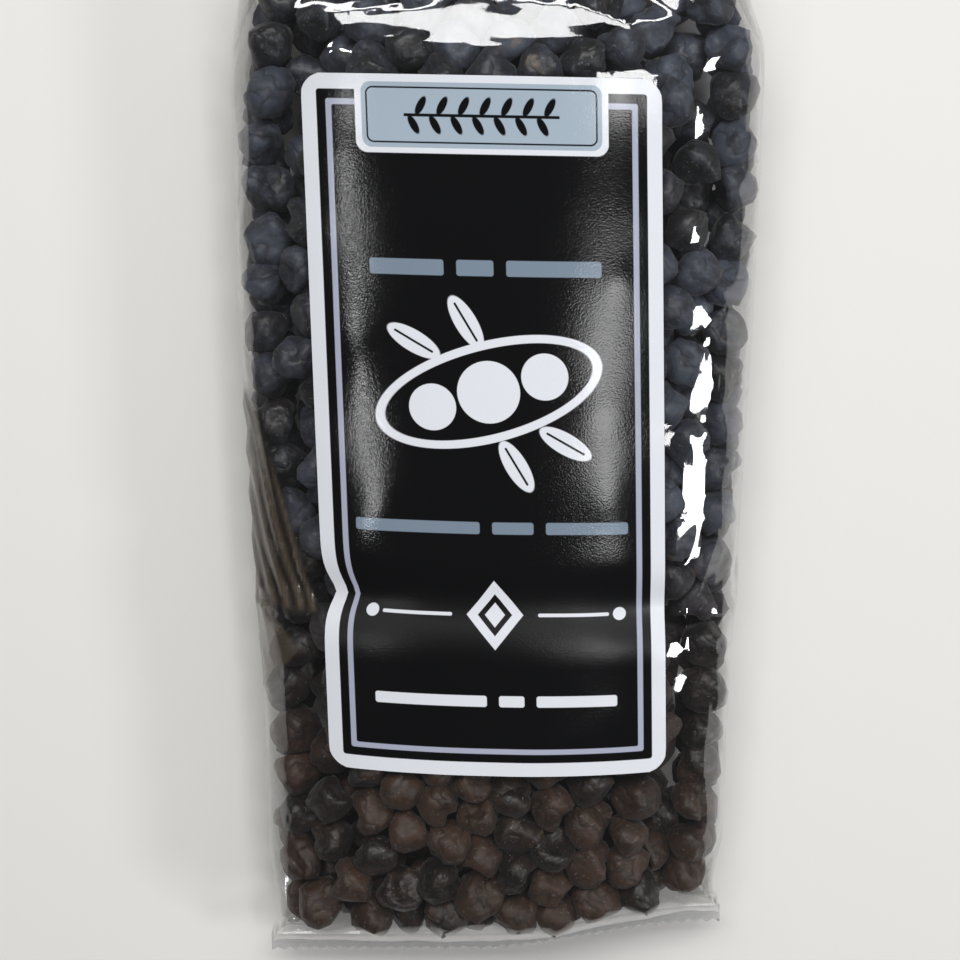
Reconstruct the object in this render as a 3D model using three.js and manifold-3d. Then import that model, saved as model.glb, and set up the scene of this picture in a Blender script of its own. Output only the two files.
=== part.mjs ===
// A clear film bag filled with dried black chickpeas, lying on its back with its paper label up.
// Lengths are millimetres. X points to the bag's right, Y to its top end and Z up.
// The bag is one solid: a core out to the film, with the chickpeas that show fused onto it.
// The label is a thin paper sheet that follows the front of the bag.

import * as THREE from 'three';
import { mergeVertices } from 'three/addons/utils/BufferGeometryUtils.js';
import Module from 'manifold-3d';

const wasm = await Module();
wasm.setup();

// The filled bag, which widens towards its top and is widest below the middle of its thickness
const BAG_LENGTH = 236;
const UPPER_WIDTH = 104;
const LOWER_WIDTH = 96;
const WIDENING_START_Y = -90;
const WIDENING_END_Y = 56;
const THICKNESS = 34;
const WIDEST_SHARE = 0.38;
const PILLOW_DROP = 2.5;
const BASE_FLATTENING = 1.16;

// How square the outline of a cross-section is: 2 is an ellipse and more is squarer
const FRONT_SQUARENESS = 2.15;
const BACK_SQUARENESS = 3.4;
const SEAL_SQUARENESS = 9;

// The two crimped seals, which stand out of the ends like fins
const BOTTOM_SEAL = 4.2;
const TOP_SEAL = 10;
const SEAL_THICKNESS = 1.2;
const SEAL_LEVEL = 11;
const SEAL_DROOP = 2;
const TOOTH_PITCH = 3;
const TOOTH_DEPTH = 1;

// How far the bag takes to swell from a seal to its full thickness, and how bluntly it starts
const BOTTOM_RISE = 22;
const BOTTOM_BLUNTNESS = 2.4;
const TOP_RISE = 46;
const TOP_BLUNTNESS = 1.9;
const TOP_SOFTNESS = 0.85;

// The bottom end is lifted towards the bag's right, so that it isn't square
const BOTTOM_LIFT = 6.5;
const LIFT_START_X = -5;
const LIFT_END_X = 46;
const LIFT_REACH = 50;

// The side gussets are tucked in where the bag narrows to its seals
const TUCK_DEPTH = 11;
const TUCK_START_SHARE = 0.55;

// The crease across the front, where the film was folded and the contents part
const WAIST_Y = -36;
const WAIST_SLANT = -0.045;
const WAIST_REACH = 5.5;
const WAIST_DEPTH_SIDE = 4.2;
const WAIST_SIDE_X = 40;
const WAIST_DEPTH_MIDDLE = 1.1;
const WAIST_MIDDLE_X = 14;

// The paper label
const LABEL_WIDTH = 67.5;
const LABEL_LENGTH = 136;
const LABEL_CORNER = 4.2;
const LABEL_CENTRE_X = -1.3;
const LABEL_CENTRE_Y = -2.5;
const LABEL_LEAN = THREE.MathUtils.degToRad(1.5);
const LABEL_SKEW = 0.045;
const LABEL_THICKNESS = 0.4;
const LABEL_GAP = 0.35;
const LABEL_KINK = 2.6;
const LABEL_KINK_REACH = 4.5;

// The chickpeas
const PEA_WIDTH = 9.2;
const PEA_LENGTH = 10.6;
const PEA_BEAK = 1.14;
const PEA_SPREAD = 0.09;
const PEA_PITCH = 9.4;
const PEA_ROW_PITCH = 8.9;
const PEA_JITTER = 0.9;
const PEA_FLOOR_GAP = 0.4;
const LOWEST_PEA_HEIGHT = 2.3;
const NEAR_LABEL_SHARE = 0.15;
const THINNEST_SHARE = 1.25;
const TUCKED_SHARE = 0.3;
const TUCKED_GIRTH = 0.7;
const FIRST_ROW_SHARE = 0.3;
const FILM_CLEARANCE = 0.2;
const CORE_INSET = 2.3;
const CORE_STEP_START = 1;
const CORE_STEP_WIDTH = 4;
const RANDOM_SEED = 20407;

// The mesh of the core: steps along the bag in each stretch, and points round its front and back
const BODY_STEP = 7.5;
const WAIST_STEP = 3.7;
const WAIST_SPAN = 13;
const BOTTOM_STEPS = 5;
const BOTTOM_CROWDING = 1.6;
const TOP_STEPS = 6;
const FRONT_STEPS = 14;
const BACK_STEPS = 8;
const SHEET_MARGIN = 12;
const LABEL_CORNER_STEPS = 4;

// The girth is a place round a cross-section: from -1 to 1 across the front, left to right,
// and on from 1 to 3, or back from -1, across the base.
const LOWEST_PEA_GIRTH = 1.62;
const GIRTH_STEPS = 400;
const NORMAL_STEP = 0.5;
const NORMAL_GIRTH_STEP = 0.01;
const MERGE_DISTANCE = 1e-4;

const { clamp, lerp, smoothstep } = THREE.MathUtils;

const HALF_LENGTH = BAG_LENGTH / 2;
const BODY_START = -HALF_LENGTH + BOTTOM_SEAL;
const BODY_END = HALF_LENGTH - TOP_SEAL;

// A repeatable random number generator, which gives the same bag every time.
function randomSource(seed) {
  let state = seed;
  return () => {
    state = (state + 0x6d2b79f5) | 0;
    let mixed = Math.imul(state ^ (state >>> 15), 1 | state);
    mixed = (mixed + Math.imul(mixed ^ (mixed >>> 7), 61 | mixed)) ^ mixed;
    return ((mixed ^ (mixed >>> 14)) >>> 0) / 2 ** 32;
  };
}

// The bag's size at a place along it, for a surface that lies a given inset inside the film.
function sectionAt(y, inset) {
  const fromBottom = clamp((y - BODY_START - inset) / BOTTOM_RISE, 0, 1);
  const fromTop = clamp((BODY_END - inset - y) / TOP_RISE, 0, 1);
  const bluntEnd = Math.sqrt(1 - (1 - fromBottom) ** BOTTOM_BLUNTNESS);
  const slantingEnd = (1 - (1 - fromTop) ** TOP_BLUNTNESS) ** TOP_SOFTNESS;
  const fullness = bluntEnd * slantingEnd;

  const beyondSeal = Math.max(BODY_START - y, y - BODY_END, 0);
  const level = SEAL_LEVEL - SEAL_DROOP * (beyondSeal / TOP_SEAL) ** 2;
  const width = lerp(LOWER_WIDTH, UPPER_WIDTH, smoothstep(y, WIDENING_START_Y, WIDENING_END_Y));
  const narrowing = (UPPER_WIDTH - LOWER_WIDTH) * (1 - smoothstep(BODY_END - y, 0, TOP_RISE));
  const crown = THICKNESS - PILLOW_DROP * (y / HALF_LENGTH) ** 2;
  const swelling = smoothstep(fullness, 0, 1);
  return {
    halfWidth: (width - narrowing) / 2 - inset * fullness,
    widest: lerp(level, THICKNESS * WIDEST_SHARE, fullness),
    top: lerp(level + SEAL_THICKNESS / 2, crown - inset, fullness),
    bottom: lerp(level - SEAL_THICKNESS / 2, 0, Math.min(1, swelling * BASE_FLATTENING)),
    frontPower: lerp(SEAL_SQUARENESS, FRONT_SQUARENESS, fullness),
    backPower: lerp(SEAL_SQUARENESS, BACK_SQUARENESS, fullness),
    tuck: TUCK_DEPTH * 4 * fullness * (1 - fullness),
    fullness,
  };
}

// The crease across the front: deep at the bag's sides and shallow under the label.
function waistDepth(x, y) {
  const distance = y - (WAIST_Y + WAIST_SLANT * x);
  const sideways = smoothstep(Math.abs(x), WAIST_MIDDLE_X, WAIST_SIDE_X);
  return lerp(WAIST_DEPTH_MIDDLE, WAIST_DEPTH_SIDE, sideways) * Math.exp(-((distance / WAIST_REACH) ** 2));
}

// How far the bottom end is lifted at a place, which fades out towards the waist.
function bottomLift(x, y) {
  const fade = 1 - smoothstep(y, BODY_START, BODY_START + LIFT_REACH);
  return BOTTOM_LIFT * smoothstep(x, LIFT_START_X, LIFT_END_X) * fade;
}

// A point of the bag's surface, at a place along the bag and round its girth.
function surfacePoint(y, girth, inset) {
  const section = sectionAt(y, inset);
  const onFront = girth <= 1 && girth >= -1;
  const across = onFront ? girth : 2 * Math.sign(girth) - girth;
  const share = Math.sin((Math.PI / 2) * across);
  const power = onFront ? section.frontPower : section.backPower;
  const swell = (1 - Math.abs(share) ** power) ** (1 / power);
  const flattened = onFront ? swell : Math.min(1, swell * BASE_FLATTENING);
  const reach = onFront ? section.top - section.widest : section.bottom - section.widest;
  const tuck = section.tuck * smoothstep(Math.abs(share), TUCK_START_SHARE, 1) * (1 - flattened) ** 2;
  const x = share * section.halfWidth - Math.sign(share) * tuck;
  const crease = onFront ? waistDepth(x, y) * flattened * section.fullness : 0;
  const lifted = y + bottomLift(x, y);
  return new THREE.Vector3(x, lifted, section.widest + reach * flattened - crease);
}

// The way out of the bag at a point of its surface.
function surfaceNormal(y, girth) {
  const along = surfacePoint(y + NORMAL_STEP, girth, 0).sub(surfacePoint(y - NORMAL_STEP, girth, 0));
  const next = surfacePoint(y, girth + NORMAL_GIRTH_STEP, 0);
  const around = next.sub(surfacePoint(y, girth - NORMAL_GIRTH_STEP, 0));
  return around.cross(along).normalize();
}

// How far a point of the bag lies outside the label's edge, negative under the label.
function beyondLabel(x, y) {
  const place = new THREE.Vector2(x - LABEL_CENTRE_X, y - LABEL_CENTRE_Y);
  place.y += LABEL_SKEW * place.x;
  place.rotateAround(new THREE.Vector2(), -LABEL_LEAN);
  return Math.max(Math.abs(place.x) - LABEL_WIDTH / 2, Math.abs(place.y) - LABEL_LENGTH / 2);
}

// Under the label the core reaches the film, and elsewhere it leaves room for the chickpeas.
function coreInset(y, girth) {
  if (Math.abs(girth) > 1) return CORE_INSET;
  const place = surfacePoint(y, girth, 0);
  const stepEnd = CORE_STEP_START + CORE_STEP_WIDTH;
  return CORE_INSET * smoothstep(beyondLabel(place.x, place.y), CORE_STEP_START, stepEnd);
}

// Places along the bag, close together at the ends and the waist.
function stations() {
  const bodyFrom = BODY_START + BOTTOM_RISE;
  const waistFrom = WAIST_Y - WAIST_SPAN;
  const waistTo = WAIST_Y + WAIST_SPAN;
  const bodyTo = BODY_END - TOP_RISE;
  const spans = [
    [BODY_START, bodyFrom, BOTTOM_STEPS, BOTTOM_CROWDING],
    [bodyFrom, waistFrom, Math.round((waistFrom - bodyFrom) / BODY_STEP), 1],
    [waistFrom, waistTo, Math.round((waistTo - waistFrom) / WAIST_STEP), 1],
    [waistTo, bodyTo, Math.round((bodyTo - waistTo) / BODY_STEP), 1],
    [bodyTo, BODY_END, TOP_STEPS, 1],
  ];
  const places = [-HALF_LENGTH, BODY_START];
  for (const [start, end, steps, crowding] of spans) {
    for (let step = 1; step <= steps; step += 1) places.push(lerp(start, end, (step / steps) ** crowding));
  }
  places.push(HALF_LENGTH);
  return places;
}

// A closed geometry from a list of points and a list of triangles.
function closedGeometry(points, triangles) {
  const geometry = new THREE.BufferGeometry().setFromPoints(points);
  geometry.setIndex(triangles);
  return geometry;
}

// The two triangles of a four-sided face.
function quad(a, b, c, d) {
  return [a, b, c, a, c, d];
}

// The core is a loft of rings, closed by a fan at each end.
function coreGeometry() {
  const points = [];
  const triangles = [];
  const girths = [];
  for (let step = 0; step < FRONT_STEPS; step += 1) girths.push(-1 + (2 * step) / FRONT_STEPS);
  for (let step = 0; step < BACK_STEPS; step += 1) girths.push(1 + (2 * step) / BACK_STEPS);
  const rings = stations();
  for (const y of rings) {
    for (const girth of girths) points.push(surfacePoint(y, girth, coreInset(y, girth)));
  }
  const count = girths.length;
  for (let ring = 0; ring < rings.length - 1; ring += 1) {
    for (let side = 0; side < count; side += 1) {
      const next = (side + 1) % count;
      const below = ring * count;
      const above = below + count;
      triangles.push(...quad(below + side, below + next, above + next, above + side));
    }
  }
  for (const [ring, y] of [[0, rings[0]], [rings.length - 1, rings[rings.length - 1]]]) {
    const centre = points.length;
    points.push(new THREE.Vector3(0, y, sectionAt(y, 0).widest));
    for (let side = 0; side < count; side += 1) {
      const here = ring * count + side;
      const next = ring * count + ((side + 1) % count);
      triangles.push(...(ring === 0 ? [centre, next, here] : [centre, here, next]));
    }
  }
  return closedGeometry(points, triangles);
}

// A sheet over the front, on the same grid as the core, so that it lies parallel to it.
function frontSheetGeometry(low, high) {
  const points = [];
  const triangles = [];
  const rows = stations().filter((y) => Math.abs(y - LABEL_CENTRE_Y) < LABEL_LENGTH / 2 + SHEET_MARGIN);
  const columns = [];
  for (let step = 1; step < FRONT_STEPS; step += 1) columns.push(-1 + (2 * step) / FRONT_STEPS);
  for (const lift of [low, high]) {
    for (const y of rows) {
      for (const girth of columns) {
        const point = surfacePoint(y, girth, 0);
        point.z += lift;
        points.push(point);
      }
    }
  }
  const width = columns.length;
  const layer = rows.length * width;
  for (let row = 0; row < rows.length - 1; row += 1) {
    for (let column = 0; column < width - 1; column += 1) {
      const corner = row * width + column;
      const face = [corner, corner + 1, corner + width + 1, corner + width];
      triangles.push(...quad(...face.map((index) => index + layer)));
      triangles.push(...quad(...face.reverse()));
    }
  }
  const rim = [];
  for (let column = 0; column < width - 1; column += 1) rim.push(column);
  for (let row = 0; row < rows.length - 1; row += 1) rim.push(row * width + width - 1);
  for (let column = width - 1; column > 0; column -= 1) rim.push((rows.length - 1) * width + column);
  for (let row = rows.length - 1; row > 0; row -= 1) rim.push(row * width);
  rim.forEach((here, index) => {
    const next = rim[(index + 1) % rim.length];
    triangles.push(...quad(here, next, next + layer, here + layer));
  });
  return closedGeometry(points, triangles);
}

// The label's outline: a rounded rectangle whose left edge is bent in where the waist crosses it.
function labelOutline() {
  const halfWidth = LABEL_WIDTH / 2;
  const halfLength = LABEL_LENGTH / 2;
  const cornerX = halfWidth - LABEL_CORNER;
  const cornerY = halfLength - LABEL_CORNER;
  const kinkY = WAIST_Y - LABEL_CENTRE_Y - WAIST_SLANT * halfWidth;
  const outline = new THREE.Shape();
  outline.moveTo(-cornerX, -halfLength);
  outline.absarc(cornerX, -cornerY, LABEL_CORNER, -Math.PI / 2, 0);
  outline.absarc(cornerX, cornerY, LABEL_CORNER, 0, Math.PI / 2);
  outline.absarc(-cornerX, cornerY, LABEL_CORNER, Math.PI / 2, Math.PI);
  outline.lineTo(-halfWidth, kinkY + LABEL_KINK_REACH);
  outline.lineTo(-halfWidth + LABEL_KINK, kinkY);
  outline.lineTo(-halfWidth, kinkY - LABEL_KINK_REACH);
  outline.absarc(-cornerX, -cornerY, LABEL_CORNER, Math.PI, (3 * Math.PI) / 2);
  return outline;
}

// The cutter that trims the sheet to the label's outline.
function labelCutterGeometry() {
  const geometry = new THREE.ExtrudeGeometry(labelOutline(), {
    depth: THICKNESS * 2,
    bevelEnabled: false,
    curveSegments: LABEL_CORNER_STEPS,
  });
  geometry.rotateZ(LABEL_LEAN);
  geometry.applyMatrix4(new THREE.Matrix4().makeShear(-LABEL_SKEW, 0, 0, 0, 0, 0));
  geometry.translate(LABEL_CENTRE_X, LABEL_CENTRE_Y, 0);
  return geometry;
}

// The saw-toothed blade that trims a seal. Its teeth point to -Y.
function toothedCutterGeometry() {
  const teeth = Math.ceil(UPPER_WIDTH / TOOTH_PITCH) + 1;
  const start = (-teeth * TOOTH_PITCH) / 2;
  const blade = new THREE.Shape();
  blade.moveTo(start, TOOTH_DEPTH);
  for (let tooth = 0; tooth < teeth; tooth += 1) {
    const left = start + tooth * TOOTH_PITCH;
    blade.lineTo(left + TOOTH_PITCH / 2, 0);
    blade.lineTo(left + TOOTH_PITCH, TOOTH_DEPTH);
  }
  blade.lineTo(-start, TOOTH_DEPTH * 4);
  blade.lineTo(start, TOOTH_DEPTH * 4);
  return new THREE.ExtrudeGeometry(blade, { depth: THICKNESS, bevelEnabled: false });
}

// The blade for the bottom seal, which follows the lift of the bottom end.
function bottomCutterGeometry() {
  const geometry = toothedCutterGeometry().rotateZ(Math.PI).translate(0, TOOTH_DEPTH - HALF_LENGTH, 0);
  const position = geometry.attributes.position;
  for (let index = 0; index < position.count; index += 1) {
    const lift = bottomLift(position.getX(index), BODY_START);
    position.setY(index, position.getY(index) + lift);
  }
  return geometry;
}

// One chickpea: a rough ball a little longer than wide, with one corner drawn out as its beak.
function peaGeometry(random) {
  const geometry = new THREE.IcosahedronGeometry(0.5, 0);
  const position = geometry.attributes.position;
  const beak = new THREE.Vector3().fromBufferAttribute(position, 0);
  const point = new THREE.Vector3();
  for (let index = 0; index < position.count; index += 1) {
    point.fromBufferAttribute(position, index);
    if (point.distanceTo(beak) < MERGE_DISTANCE) position.setXYZ(index, ...point.multiplyScalar(PEA_BEAK));
  }
  const uneven = () => 1 + PEA_SPREAD * (2 * random() - 1);
  geometry.scale(PEA_WIDTH * uneven(), PEA_WIDTH * uneven(), PEA_LENGTH * uneven());
  const turn = new THREE.Euler(random() * Math.PI * 2, random() * Math.PI * 2, random() * Math.PI * 2);
  geometry.applyQuaternion(new THREE.Quaternion().setFromEuler(turn));
  return geometry;
}

// Moves a chickpea so that it just touches the film from inside, and never goes below the base.
function pressAgainstFilm(geometry, place, outward) {
  const position = geometry.attributes.position;
  const point = new THREE.Vector3();
  let reach = 0;
  for (let index = 0; index < position.count; index += 1) {
    reach = Math.max(reach, point.fromBufferAttribute(position, index).dot(outward));
  }
  const centre = place.clone().addScaledVector(outward, -reach - FILM_CLEARANCE);
  geometry.translate(centre.x, centre.y, centre.z);
  geometry.computeBoundingBox();
  const sunk = Math.max(0, PEA_FLOOR_GAP - geometry.boundingBox.min.z);
  geometry.translate(0, 0, sunk);
  return geometry;
}

// Whether a chickpea fits at a place and shows there: not under the label, in a tuck or on the base.
function peaShows(y, girth, place) {
  const section = sectionAt(y, 0);
  const nearLabel = Math.abs(girth) < 1 && beyondLabel(place.x, place.y) < PEA_WIDTH * NEAR_LABEL_SHARE;
  const tooThin = section.top - section.bottom < PEA_WIDTH * THINNEST_SHARE;
  const inTuck = section.tuck > PEA_WIDTH * TUCKED_SHARE && Math.abs(girth) > TUCKED_GIRTH;
  return !(nearLabel || tooThin || inTuck || place.z < LOWEST_PEA_HEIGHT);
}

// The chickpeas of one row round the bag, a pitch apart along its girth.
function peaRow(y, offset, random) {
  const jitter = () => PEA_JITTER * (2 * random() - 1);
  const peas = [];
  let travelled = offset * PEA_PITCH;
  let last = surfacePoint(y, -LOWEST_PEA_GIRTH, 0);
  for (let step = 1; step <= GIRTH_STEPS; step += 1) {
    const girth = lerp(-LOWEST_PEA_GIRTH, LOWEST_PEA_GIRTH, step / GIRTH_STEPS);
    const place = surfacePoint(y, girth, 0);
    travelled += place.distanceTo(last);
    last = place;
    if (travelled < PEA_PITCH) continue;
    travelled -= PEA_PITCH + jitter();
    if (!peaShows(y, girth, place)) continue;
    const shiftedY = y + jitter();
    const pea = peaGeometry(random);
    peas.push(pressAgainstFilm(pea, surfacePoint(shiftedY, girth, 0), surfaceNormal(shiftedY, girth)));
  }
  return peas;
}

// All the chickpeas that show through the film.
function peaGeometries() {
  const random = randomSource(RANDOM_SEED);
  const peas = [];
  let row = 0;
  for (let y = BODY_START + PEA_WIDTH * FIRST_ROW_SHARE; y < BODY_END; y += PEA_ROW_PITCH) {
    peas.push(...peaRow(y, (row % 2) / 2, random));
    row += 1;
  }
  return peas;
}

// Turns a closed three.js geometry into a solid that can be joined and cut.
function solidFrom(geometry) {
  const bare = geometry.clone();
  bare.deleteAttribute('normal');
  bare.deleteAttribute('uv');
  const merged = mergeVertices(bare, MERGE_DISTANCE);
  return new wasm.Manifold(new wasm.Mesh({
    numProp: 3,
    vertProperties: Float32Array.from(merged.attributes.position.array),
    triVerts: Uint32Array.from(merged.index.array),
  }));
}

// Keeps the largest body of a solid, which drops loose scraps and fills sealed hollows.
function largestBody(solid) {
  const bodies = solid.decompose();
  return bodies.reduce((best, body) => (body.volume() > best.volume() ? body : best));
}

// Turns a solid back into a three.js geometry.
function geometryFrom(solid) {
  const mesh = solid.getMesh();
  const geometry = new THREE.BufferGeometry();
  geometry.setAttribute('position', new THREE.BufferAttribute(mesh.vertProperties, 3));
  geometry.setIndex(new THREE.BufferAttribute(mesh.triVerts, 1));
  geometry.computeVertexNormals();
  return geometry;
}

// The filled bag: core and chickpeas joined, with both seals cut to a saw-toothed edge.
function bagGeometry() {
  const solids = [coreGeometry(), ...peaGeometries()].map(solidFrom);
  const filled = wasm.Manifold.union(solids);
  const topBlade = toothedCutterGeometry().translate(0, HALF_LENGTH - TOOTH_DEPTH, 0);
  const trimmed = filled.subtract(solidFrom(topBlade)).subtract(solidFrom(bottomCutterGeometry()));
  return geometryFrom(largestBody(trimmed));
}

// The label: the front sheet trimmed to the label's outline.
function labelGeometry() {
  const sheet = solidFrom(frontSheetGeometry(LABEL_GAP, LABEL_GAP + LABEL_THICKNESS));
  return geometryFrom(largestBody(sheet.intersect(solidFrom(labelCutterGeometry()))));
}

function namedMesh(name, geometry, color, roughness) {
  const material = new THREE.MeshStandardMaterial({ color, roughness, metalness: 0 });
  const mesh = new THREE.Mesh(geometry, material);
  mesh.name = name;
  return mesh;
}

const bagOfChickpeas = new THREE.Group();
bagOfChickpeas.add(namedMesh('bag', bagGeometry(), 0x3a3a40, 0.45));
bagOfChickpeas.add(namedMesh('label', labelGeometry(), 0x1c1c1e, 0.4));

// The outermost chickpeas differ from side to side, so the whole is moved to stand on the origin.
const extent = new THREE.Box3().setFromObject(bagOfChickpeas);
const middle = extent.getCenter(new THREE.Vector3());
for (const mesh of bagOfChickpeas.children) {
  mesh.geometry.translate(-middle.x, -middle.y, -extent.min.z);
}

export default bagOfChickpeas;
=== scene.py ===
# %% [markdown]
# # A clear bag of black chickpeas
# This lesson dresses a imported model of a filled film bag: loose chickpeas, the clear film that
# they press against, and the paper label on its front. The bag lies on its back, and the camera
# looks down on it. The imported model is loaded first, because every piece has to sit where it does.

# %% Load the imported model
import math
from types import SimpleNamespace

import bpy
import numpy as np
from mathutils import Matrix, Vector, noise
from mathutils.bvhtree import BVHTree


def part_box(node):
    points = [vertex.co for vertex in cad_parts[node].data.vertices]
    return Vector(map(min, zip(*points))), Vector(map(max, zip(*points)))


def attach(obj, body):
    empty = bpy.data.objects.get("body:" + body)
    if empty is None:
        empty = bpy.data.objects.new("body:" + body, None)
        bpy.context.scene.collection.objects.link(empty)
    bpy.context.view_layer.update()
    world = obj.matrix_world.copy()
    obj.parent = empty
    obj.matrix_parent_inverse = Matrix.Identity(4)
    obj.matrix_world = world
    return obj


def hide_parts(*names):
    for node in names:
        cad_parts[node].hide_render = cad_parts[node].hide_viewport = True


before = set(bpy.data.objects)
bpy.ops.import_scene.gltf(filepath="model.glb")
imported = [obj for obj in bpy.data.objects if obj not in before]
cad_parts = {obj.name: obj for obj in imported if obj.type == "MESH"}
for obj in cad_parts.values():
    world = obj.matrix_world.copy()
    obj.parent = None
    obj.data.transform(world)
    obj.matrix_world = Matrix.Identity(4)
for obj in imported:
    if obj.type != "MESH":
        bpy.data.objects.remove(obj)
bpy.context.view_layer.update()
bag_low, bag_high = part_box("bag")
label_low, label_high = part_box("label")
MM = 0.001
print("bag", [round(length / MM, 1) for length in bag_high - bag_low], "mm")

# %% [markdown]
# ## The camera
# The photograph was taken from close by, a little above the middle of the bag, so its top looks
# wider than its foot. A camera at a real distance gives the same perspective as the real one.

# %% Place the camera
CAMERA_PLACE = Vector((-3.3, 59.1, 392.4)) * MM
CAMERA_AIM = Vector((-3.3, -10.5, 34.1)) * MM
CAMERA_LENS = 71.25
CAMERA_SENSOR = 36


def looking(way, up):
    """The turn of a camera or lamp that looks along a way, with another way up in its view."""
    back = -way.normalized()
    right = up.cross(back).normalized()
    return Matrix((right, back.cross(right), back)).transposed().to_euler()


bpy.ops.object.camera_add(location=CAMERA_PLACE)
camera = bpy.context.object
camera.rotation_euler = looking(CAMERA_AIM - CAMERA_PLACE, Vector((0, 1, 0)))
camera.data.lens = CAMERA_LENS
camera.data.sensor_width = CAMERA_SENSOR
camera.data.clip_start = 10 * MM
bpy.context.scene.camera = camera
bpy.context.scene.view_settings.view_transform = "Standard"
print("camera", round((CAMERA_AIM - CAMERA_PLACE).length / MM), "mm from what it looks at")

# %% [markdown]
# ## The form of the bag
# A filled bag is a pillow: nearly flat where it lies, crowned on its front, and drawn down to a
# thin seal at each end. Its cross-section is a rounded box above and below its widest place. One
# function gives the section at any place along the bag, so that film, chickpeas and label all
# follow the same form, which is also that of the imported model.

# %% Name the bag's sizes
HALF_LENGTH = (bag_high.y - bag_low.y) / 2
THICKNESS = bag_high.z
UPPER_WIDTH = 104 * MM
LOWER_WIDTH = 96 * MM
WIDENING_Y = (-90 * MM, 56 * MM)
WIDEST_SHARE = 0.38
PILLOW_DROP = 2.5 * MM
BASE_FLATTENING = 1.16
FRONT_SQUARENESS = 2.15
BACK_SQUARENESS = 3.4
SEAL_SQUARENESS = 9
BOTTOM_SEAL = 4.2 * MM
TOP_SEAL = 10 * MM
SEAL_THICKNESS = 0.3 * MM
SEAL_LEVEL = 11 * MM
SEAL_DROOP = 2 * MM
BOTTOM_RISE = 22 * MM
BOTTOM_BLUNTNESS = 2.4
TOP_RISE = 46 * MM
TOP_BLUNTNESS = 1.9
TOP_SOFTNESS = 0.85
BOTTOM_LIFT = 6.5 * MM
LIFT_X = (-5 * MM, 46 * MM)
LIFT_REACH = 50 * MM
TUCK_DEPTH = 11 * MM
TUCK_START_SHARE = 0.55
WAIST_Y = -36 * MM
WAIST_SLANT = -0.045
WAIST_REACH = 5.5 * MM
WAIST_DEPTH_SIDE = 4.2 * MM
WAIST_DEPTH_MIDDLE = 1.1 * MM
WAIST_X = (14 * MM, 40 * MM)
LABEL_WIDTH = 67.5 * MM
LABEL_LENGTH = 136 * MM
LABEL_LEAN = math.radians(1.5)
LABEL_SKEW = 0.045
LABEL_CENTRE = (label_low + label_high) / 2
BODY_START = -HALF_LENGTH + BOTTOM_SEAL
BODY_END = HALF_LENGTH - TOP_SEAL

# %% Work out the form


def blend(low, high, share):
    return low + (high - low) * share


def ease(value, start, end):
    """Goes smoothly from 0 at start to 1 at end."""
    share = np.clip((value - start) / (end - start), 0, 1)
    return share * share * (3 - 2 * share)


def section_at(y):
    """The sizes of the bag's cross-section at places along it."""
    from_bottom = np.clip((y - BODY_START) / BOTTOM_RISE, 0, 1)
    from_top = np.clip((BODY_END - y) / TOP_RISE, 0, 1)
    blunt_end = np.sqrt(1 - (1 - from_bottom) ** BOTTOM_BLUNTNESS)
    slanting_end = (1 - (1 - from_top) ** TOP_BLUNTNESS) ** TOP_SOFTNESS
    fullness = blunt_end * slanting_end
    beyond_seal = np.maximum(np.maximum(BODY_START - y, y - BODY_END), 0)
    level = SEAL_LEVEL - SEAL_DROOP * (beyond_seal / TOP_SEAL) ** 2
    width = blend(LOWER_WIDTH, UPPER_WIDTH, ease(y, *WIDENING_Y))
    narrowing = (UPPER_WIDTH - LOWER_WIDTH) * (1 - ease(BODY_END - y, 0, TOP_RISE))
    crown = THICKNESS - PILLOW_DROP * (y / HALF_LENGTH) ** 2
    flatness = np.minimum(1, ease(fullness, 0, 1) * BASE_FLATTENING)
    return SimpleNamespace(
        half_width=(width - narrowing) / 2,
        widest=blend(level, THICKNESS * WIDEST_SHARE, fullness),
        top=blend(level + SEAL_THICKNESS / 2, crown, fullness),
        bottom=blend(level - SEAL_THICKNESS / 2, 0, flatness),
        front_power=blend(SEAL_SQUARENESS, FRONT_SQUARENESS, fullness),
        back_power=blend(SEAL_SQUARENESS, BACK_SQUARENESS, fullness),
        tuck=TUCK_DEPTH * 4 * fullness * (1 - fullness),
        fullness=fullness,
    )


def waist_depth(x, y):
    """The crease across the front: deep at the sides and shallow under the label."""
    distance = y - (WAIST_Y + WAIST_SLANT * x)
    sideways = ease(np.abs(x), *WAIST_X)
    depth = blend(WAIST_DEPTH_MIDDLE, WAIST_DEPTH_SIDE, sideways)
    return depth * np.exp(-((distance / WAIST_REACH) ** 2))


def bottom_lift(x, y):
    """How far the bottom end is drawn up towards the bag's right."""
    fade = 1 - ease(y, BODY_START, BODY_START + LIFT_REACH)
    return BOTTOM_LIFT * ease(x, *LIFT_X) * fade


def surface_points(y, share, on_front):
    """Points of the film: y is the place along the bag, share from -1 to 1 the place across it."""
    section = section_at(y)
    power = np.where(on_front, section.front_power, section.back_power)
    swell = np.maximum(1 - np.abs(share) ** power, 0) ** (1 / power)
    flattened = np.where(on_front, swell, np.minimum(1, swell * BASE_FLATTENING))
    edge = np.where(on_front, section.top, section.bottom)
    tuck = section.tuck * ease(np.abs(share), TUCK_START_SHARE, 1) * (1 - flattened) ** 2
    x = share * section.half_width - np.sign(share) * tuck
    crease = np.where(on_front, waist_depth(x, y) * flattened * section.fullness, 0)
    z = section.widest + (edge - section.widest) * flattened - crease
    return np.stack([x, y + bottom_lift(x, y), z], axis=-1)


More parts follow.
